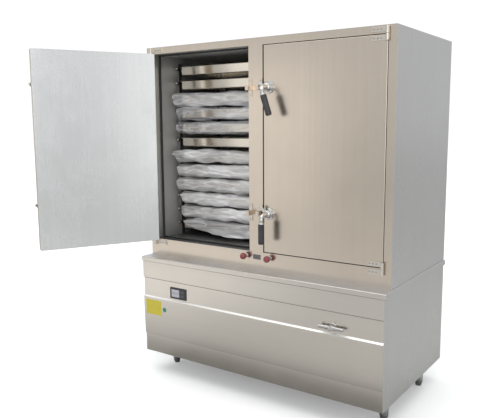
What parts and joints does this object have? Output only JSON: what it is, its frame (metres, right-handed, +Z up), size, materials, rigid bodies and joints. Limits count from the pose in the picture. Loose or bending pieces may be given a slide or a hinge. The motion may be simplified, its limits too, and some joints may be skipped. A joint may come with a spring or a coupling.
{
  "type": "steam cabinet",
  "caption": "Double-door stainless tray steam cabinet on a tank base with feet: swing doors on corner pivots, turn-handle latches, steam dampers, drain cock and sliding trays.",
  "frame": {"origin": "on the floor under the centre of the base", "axes": "+Z up, +X to the right seen from the doors, +Y to the back of the cabinet"},
  "size_m": [1.708, 1.3271, 1.767],
  "materials": {
    "front_steel": "brushed",
    "side_steel": "brushed",
    "door_inner_steel": "satin",
    "chamber_steel": "satin",
    "tray_steel": "bright",
    "hardware_steel": "polished",
    "grip_plastic": "satin",
    "seal_rubber": "matt",
    "insulation_wool": "matt",
    "damper_red": "gloss",
    "bezel_plastic": "satin",
    "display_glass": "clear",
    "fitting_brass": "satin"
  },
  "bodies": {
    "cabinet": {"upper_shell": "side_steel", "upper_back": "side_steel", "face_frame": "front_steel", "left_chamber": "chamber_steel", "right_chamber": "chamber_steel", "insulation": "insulation_wool", "door_seals": "seal_rubber", "tray_racks": "chamber_steel", "hinge_frame_leaves": "hardware_steel", "latch_keepers": "hardware_steel", "countertop": "front_steel", "front_panel": "front_steel", "base_wrap": "side_steel", "base_floor": "side_steel", "base_frame": "side_steel", "feet": "hardware_steel", "water_tank": "chamber_steel", "tank_lid": "chamber_steel", "heaters": "fitting_brass", "control_bezel": "bezel_plastic", "display_window": "display_glass", "control_box": "bezel_plastic", "inlet_valve": "fitting_brass", "drain_valve": "fitting_brass", "power_gland": "bezel_plastic"},
    "left_door": {"left_door_skin": "front_steel", "left_door_liner": "door_inner_steel", "left_door_core": "insulation_wool", "left_hinge_leaves": "hardware_steel", "left_rosettes": "hardware_steel"},
    "right_door": {"right_door_skin": "front_steel", "right_door_liner": "door_inner_steel", "right_door_core": "insulation_wool", "right_hinge_leaves": "hardware_steel", "right_rosettes": "hardware_steel"},
    "left_upper_latch": {"left_upper_lever": "hardware_steel", "left_upper_grip": "grip_plastic"},
    "left_lower_latch": {"left_lower_lever": "hardware_steel", "left_lower_grip": "grip_plastic"},
    "right_upper_latch": {"right_upper_lever": "hardware_steel", "right_upper_grip": "grip_plastic"},
    "right_lower_latch": {"right_lower_lever": "hardware_steel", "right_lower_grip": "grip_plastic"},
    "left_steam_damper": {"left_damper": "damper_red"},
    "right_steam_damper": {"right_damper": "damper_red"},
    "drain_cock": {"drain_handle": "hardware_steel"},
    "upper_control_key": {"upper_key": "bezel_plastic"},
    "lower_control_key": {"lower_key": "bezel_plastic"},
    "sliding_tray_01": {"tray_01": "tray_steel"},
    "sliding_tray_02": {"tray_02": "tray_steel"},
    "sliding_tray_03": {"tray_03": "tray_steel"},
    "sliding_tray_04": {"tray_04": "tray_steel"},
    "sliding_tray_05": {"tray_05": "tray_steel"},
    "sliding_tray_06": {"tray_06": "tray_steel"},
    "sliding_tray_07": {"tray_07": "tray_steel"},
    "sliding_tray_08": {"tray_08": "tray_steel"},
    "sliding_tray_09": {"tray_09": "tray_steel"},
    "sliding_tray_10": {"tray_10": "tray_steel"},
    "sliding_tray_11": {"tray_11": "tray_steel"},
    "sliding_tray_12": {"tray_12": "tray_steel"}
  },
  "joints": [
    {"name": "left_door_swing", "type": "hinge", "parent": "cabinet", "child": "left_door", "pos_m": [-0.66, -0.333, 1.2375], "axis": [0, 0, -1], "range_deg": [-118, 57]},
    {"name": "right_door_swing", "type": "hinge", "parent": "cabinet", "child": "right_door", "pos_m": [0.66, -0.333, 1.2375], "axis": [0, 0, 1], "range_deg": [0, 175]},
    {"name": "left_upper_latch_turn", "type": "hinge", "parent": "left_door", "child": "left_upper_latch", "pos_m": [-0.92405, -0.85516, 1.535], "axis": [0.8829, -0.4695, 0], "range_deg": [0, 45]},
    {"name": "left_lower_latch_turn", "type": "hinge", "parent": "left_door", "child": "left_lower_latch", "pos_m": [-0.92405, -0.85516, 0.937], "axis": [0.8829, -0.4695, 0], "range_deg": [0, 45]},
    {"name": "right_upper_latch_turn", "type": "hinge", "parent": "right_door", "child": "right_upper_latch", "pos_m": [0.075, -0.321, 1.535], "axis": [0, -1, 0], "range_deg": [-19, 26]},
    {"name": "right_lower_latch_turn", "type": "hinge", "parent": "right_door", "child": "right_lower_latch", "pos_m": [0.075, -0.321, 0.937], "axis": [0, -1, 0], "range_deg": [0, 45]},
    {"name": "left_damper_pull", "type": "slide", "parent": "cabinet", "child": "left_steam_damper", "axis": [0, -1, 0], "range_m": [0, 0.05]},
    {"name": "right_damper_pull", "type": "slide", "parent": "cabinet", "child": "right_steam_damper", "axis": [0, -1, 0], "range_m": [0, 0.05]},
    {"name": "drain_turn", "type": "hinge", "parent": "cabinet", "child": "drain_cock", "pos_m": [0.457, -0.3, 0.465], "axis": [0, -1, 0], "range_deg": [0, 90]},
    {"name": "upper_key_press", "type": "slide", "parent": "cabinet", "child": "upper_control_key", "axis": [0, 1, 0], "range_m": [0, 0.0012], "stiffness_N_per_m": 500, "springref_m": -0.001},
    {"name": "lower_key_press", "type": "slide", "parent": "cabinet", "child": "lower_control_key", "axis": [0, 1, 0], "range_m": [0, 0.0012], "stiffness_N_per_m": 500, "springref_m": -0.001},
    {"name": "tray_01_slide", "type": "slide", "parent": "cabinet", "child": "sliding_tray_01", "axis": [0, -1, 0], "range_m": [0, 0.21]},
    {"name": "tray_02_slide", "type": "slide", "parent": "cabinet", "child": "sliding_tray_02", "axis": [0, -1, 0], "range_m": [0, 0.21]},
    {"name": "tray_03_slide", "type": "slide", "parent": "cabinet", "child": "sliding_tray_03", "axis": [0, -1, 0], "range_m": [0, 0.21]},
    {"name": "tray_04_slide", "type": "slide", "parent": "cabinet", "child": "sliding_tray_04", "axis": [0, -1, 0], "range_m": [0, 0.21]},
    {"name": "tray_05_slide", "type": "slide", "parent": "cabinet", "child": "sliding_tray_05", "axis": [0, -1, 0], "range_m": [0, 0.21]},
    {"name": "tray_06_slide", "type": "slide", "parent": "cabinet", "child": "sliding_tray_06", "axis": [0, -1, 0], "range_m": [0, 0.21]},
    {"name": "tray_07_slide", "type": "slide", "parent": "cabinet", "child": "sliding_tray_07", "axis": [0, -1, 0], "range_m": [0, 0.21]},
    {"name": "tray_08_slide", "type": "slide", "parent": "cabinet", "child": "sliding_tray_08", "axis": [0, -1, 0], "range_m": [0, 0.21]},
    {"name": "tray_09_slide", "type": "slide", "parent": "cabinet", "child": "sliding_tray_09", "axis": [0, -1, 0], "range_m": [0, 0.21]},
    {"name": "tray_10_slide", "type": "slide", "parent": "cabinet", "child": "sliding_tray_10", "axis": [0, -1, 0], "range_m": [0, 0.21]},
    {"name": "tray_11_slide", "type": "slide", "parent": "cabinet", "child": "sliding_tray_11", "axis": [0, -1, 0], "range_m": [0, 0.21]},
    {"name": "tray_12_slide", "type": "slide", "parent": "cabinet", "child": "sliding_tray_12", "axis": [0, -1, 0], "range_m": [0, 0.21]}
  ]
}
